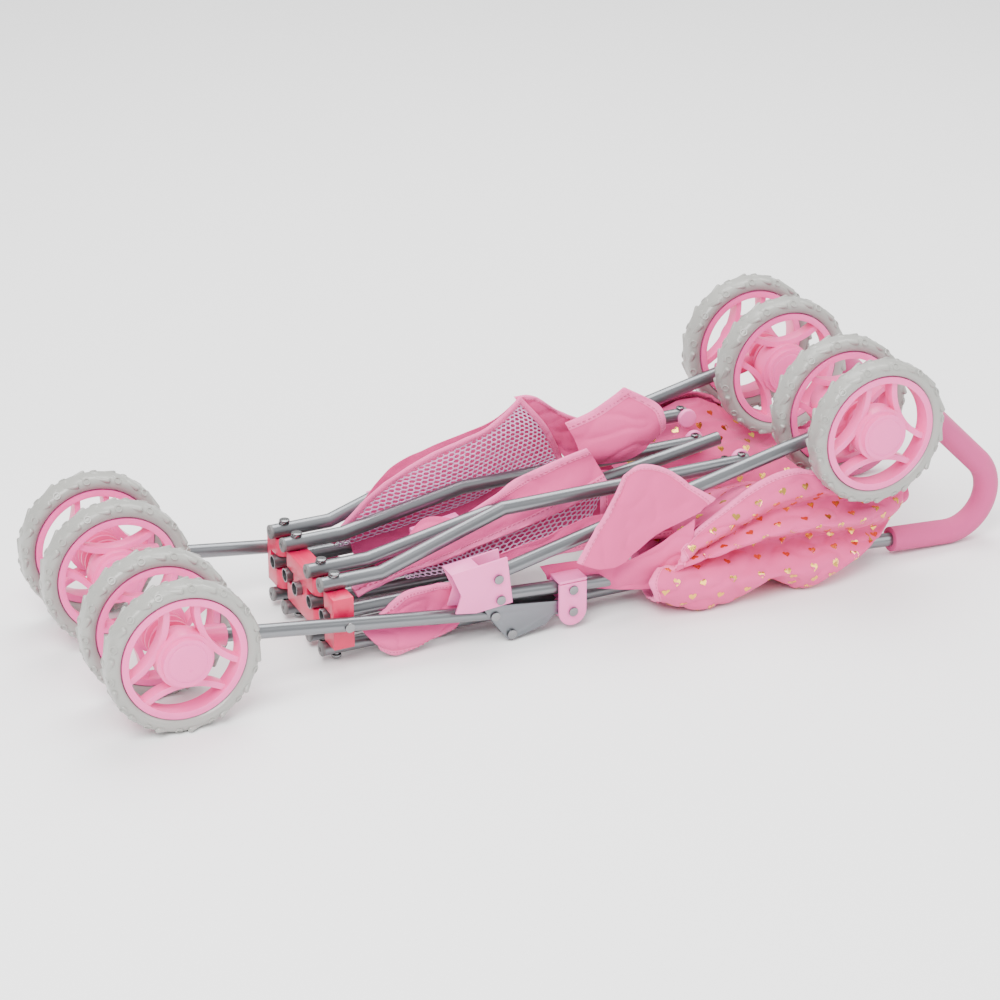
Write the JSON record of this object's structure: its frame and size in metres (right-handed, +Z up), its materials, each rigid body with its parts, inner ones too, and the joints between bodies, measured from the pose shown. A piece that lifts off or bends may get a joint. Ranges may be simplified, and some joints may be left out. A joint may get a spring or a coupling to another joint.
{
  "type": "doll stroller",
  "caption": "Folded side-by-side umbrella doll stroller: steel tube side frames, crossed braces, double wheels, hooked foam handles, net seats and folded canopies.",
  "frame": {"origin": "middle of the folded stroller's footprint, on the floor it lies on", "axes": "+X along the stroller from the front wheels to the hooked handles, +Y across it, +Z up from the floor"},
  "size_m": [0.833, 0.251, 0.2014],
  "materials": {
    "tyre": "satin light grey moulded PVC",
    "rim": "glossy rose pink moulded plastic",
    "fork": "glossy deeper pink moulded plastic",
    "tube": "satin silver paint",
    "steel": "zinc plated",
    "plate": "pressed sheet steel, satin",
    "saddle": "semi-gloss light pink moulded plastic",
    "yoke": "semi-gloss coral red moulded plastic",
    "foam": "matt closed-cell foam",
    "canopy_fabric": "woven polyester with gold foil hearts",
    "seat_fabric": "plain woven polyester with taped hems",
    "mesh_fabric": "knitted polyester net",
    "tape": "folded bias tape",
    "gold": "gold foil print",
    "plug": "grey moulded plastic"
  },
  "bodies": {
    "middle_frame": {"yoke_middle": "yoke", "fasteners_middle": "steel", "middle_rail": "tube", "middle_back_tube": "tube", "middle_saddle": "saddle", "seat_near": "seat_fabric", "seat_far": "seat_fabric"},
    "near_frame": {"axle_front_near": "steel", "fork_front_near": "fork", "front_leg_near": "tube", "handle_tube_near": "tube", "grip_near": "foam", "saddle_near": "saddle", "hinge_plate_near": "plate", "fold_link_near": "saddle", "yoke_near": "yoke", "fasteners_near": "steel", "canopy_near": "canopy_fabric"},
    "near_rear_leg": {"rear_leg_near": "tube", "fork_rear_near": "fork", "axle_rear_near": "steel"},
    "near_out_brace": {"top_bar_near_out": "tube", "low_bar_near_out": "tube"},
    "front_near_out_wheel": {"tyre_front_near_out": "tyre", "rim_front_near_out": "rim"},
    "rear_near_out_wheel": {"tyre_rear_near_out": "tyre", "rim_rear_near_out": "rim"},
    "near_in_brace": {"top_bar_near_in": "tube", "low_bar_near_in": "tube"},
    "front_near_in_wheel": {"tyre_front_near_in": "tyre", "rim_front_near_in": "rim"},
    "rear_near_in_wheel": {"tyre_rear_near_in": "tyre", "rim_rear_near_in": "rim"},
    "far_frame": {"axle_front_far": "steel", "fork_front_far": "fork", "front_leg_far": "tube", "handle_tube_far": "tube", "grip_far": "foam", "saddle_far": "saddle", "hinge_plate_far": "plate", "fold_link_far": "saddle", "yoke_far": "yoke", "fasteners_far": "steel", "canopy_far": "canopy_fabric"},
    "far_rear_leg": {"rear_leg_far": "tube", "fork_rear_far": "fork", "axle_rear_far": "steel"},
    "far_out_brace": {"top_bar_far_out": "tube", "low_bar_far_out": "tube"},
    "front_far_out_wheel": {"tyre_front_far_out": "tyre", "rim_front_far_out": "rim"},
    "rear_far_out_wheel": {"tyre_rear_far_out": "tyre", "rim_rear_far_out": "rim"},
    "far_in_brace": {"top_bar_far_in": "tube", "low_bar_far_in": "tube"},
    "front_far_in_wheel": {"tyre_front_far_in": "tyre", "rim_front_far_in": "rim"},
    "rear_far_in_wheel": {"tyre_rear_far_in": "tyre", "rim_rear_far_in": "rim"}
  },
  "joints": [
    {"name": "unfold_near", "type": "slide", "parent": "middle_frame", "child": "near_frame", "axis": [0, -1, 0], "range_m": [0, 0.15]},
    {"name": "unfold_far", "type": "slide", "parent": "middle_frame", "child": "far_frame", "axis": [0, 1, 0], "range_m": [0, 0.15]},
    {"name": "near_outer_brace_pivot", "type": "hinge", "parent": "near_frame", "child": "near_out_brace", "pos_m": [-0.20304, -0.055, 0.07], "axis": [0, 0, 1], "range_deg": [0, 27.4]},
    {"name": "near_inner_brace_pivot", "type": "hinge", "parent": "middle_frame", "child": "near_in_brace", "pos_m": [-0.20304, -0.027, 0.07], "axis": [0, 0, -1], "range_deg": [0, 27.4]},
    {"name": "near_rear_leg_fold", "type": "hinge", "parent": "near_frame", "child": "near_rear_leg", "pos_m": [-0.07304, -0.08, 0.061], "axis": [0, -1, 0], "range_deg": [0, 95]},
    {"name": "front_near_out_wheel_spin", "type": "hinge", "parent": "near_frame", "child": "front_near_out_wheel", "pos_m": [-0.35304, -0.1105, 0.0635], "axis": [0, 1, 0], "continuous": true},
    {"name": "front_near_in_wheel_spin", "type": "hinge", "parent": "near_frame", "child": "front_near_in_wheel", "pos_m": [-0.35304, -0.0495, 0.0635], "axis": [0, 1, 0], "continuous": true},
    {"name": "rear_near_out_wheel_spin", "type": "hinge", "parent": "near_rear_leg", "child": "rear_near_out_wheel", "pos_m": [0.2684, -0.1105, 0.13795], "axis": [0, 1, 0], "continuous": true},
    {"name": "rear_near_in_wheel_spin", "type": "hinge", "parent": "near_rear_leg", "child": "rear_near_in_wheel", "pos_m": [0.2684, -0.0495, 0.13795], "axis": [0, 1, 0], "continuous": true},
    {"name": "far_outer_brace_pivot", "type": "hinge", "parent": "far_frame", "child": "far_out_brace", "pos_m": [-0.20304, 0.055, 0.07], "axis": [0, 0, -1], "range_deg": [0, 27.4]},
    {"name": "far_inner_brace_pivot", "type": "hinge", "parent": "middle_frame", "child": "far_in_brace", "pos_m": [-0.20304, 0.027, 0.07], "axis": [0, 0, 1], "range_deg": [0, 27.4]},
    {"name": "far_rear_leg_fold", "type": "hinge", "parent": "far_frame", "child": "far_rear_leg", "pos_m": [-0.07304, 0.08, 0.061], "axis": [0, -1, 0], "range_deg": [0, 95]},
    {"name": "front_far_out_wheel_spin", "type": "hinge", "parent": "far_frame", "child": "front_far_out_wheel", "pos_m": [-0.35304, 0.1105, 0.0635], "axis": [0, 1, 0], "continuous": true},
    {"name": "front_far_in_wheel_spin", "type": "hinge", "parent": "far_frame", "child": "front_far_in_wheel", "pos_m": [-0.35304, 0.0495, 0.0635], "axis": [0, 1, 0], "continuous": true},
    {"name": "rear_far_out_wheel_spin", "type": "hinge", "parent": "far_rear_leg", "child": "rear_far_out_wheel", "pos_m": [0.2684, 0.1105, 0.13795], "axis": [0, 1, 0], "continuous": true},
    {"name": "rear_far_in_wheel_spin", "type": "hinge", "parent": "far_rear_leg", "child": "rear_far_in_wheel", "pos_m": [0.2684, 0.0495, 0.13795], "axis": [0, 1, 0], "continuous": true}
  ],
  "couplings": [
    {"joint": "unfold_far", "follows": "unfold_near", "ratio": 1},
    {"joint": "near_outer_brace_pivot", "follows": "unfold_near", "rad_per_m": 3.17},
    {"joint": "near_inner_brace_pivot", "follows": "unfold_near", "rad_per_m": 3.17},
    {"joint": "near_rear_leg_fold", "follows": "unfold_near", "rad_per_m": 11},
    {"joint": "far_outer_brace_pivot", "follows": "unfold_near", "rad_per_m": 3.17},
    {"joint": "far_inner_brace_pivot", "follows": "unfold_near", "rad_per_m": 3.17},
    {"joint": "far_rear_leg_fold", "follows": "unfold_near", "rad_per_m": 11}
  ]
}
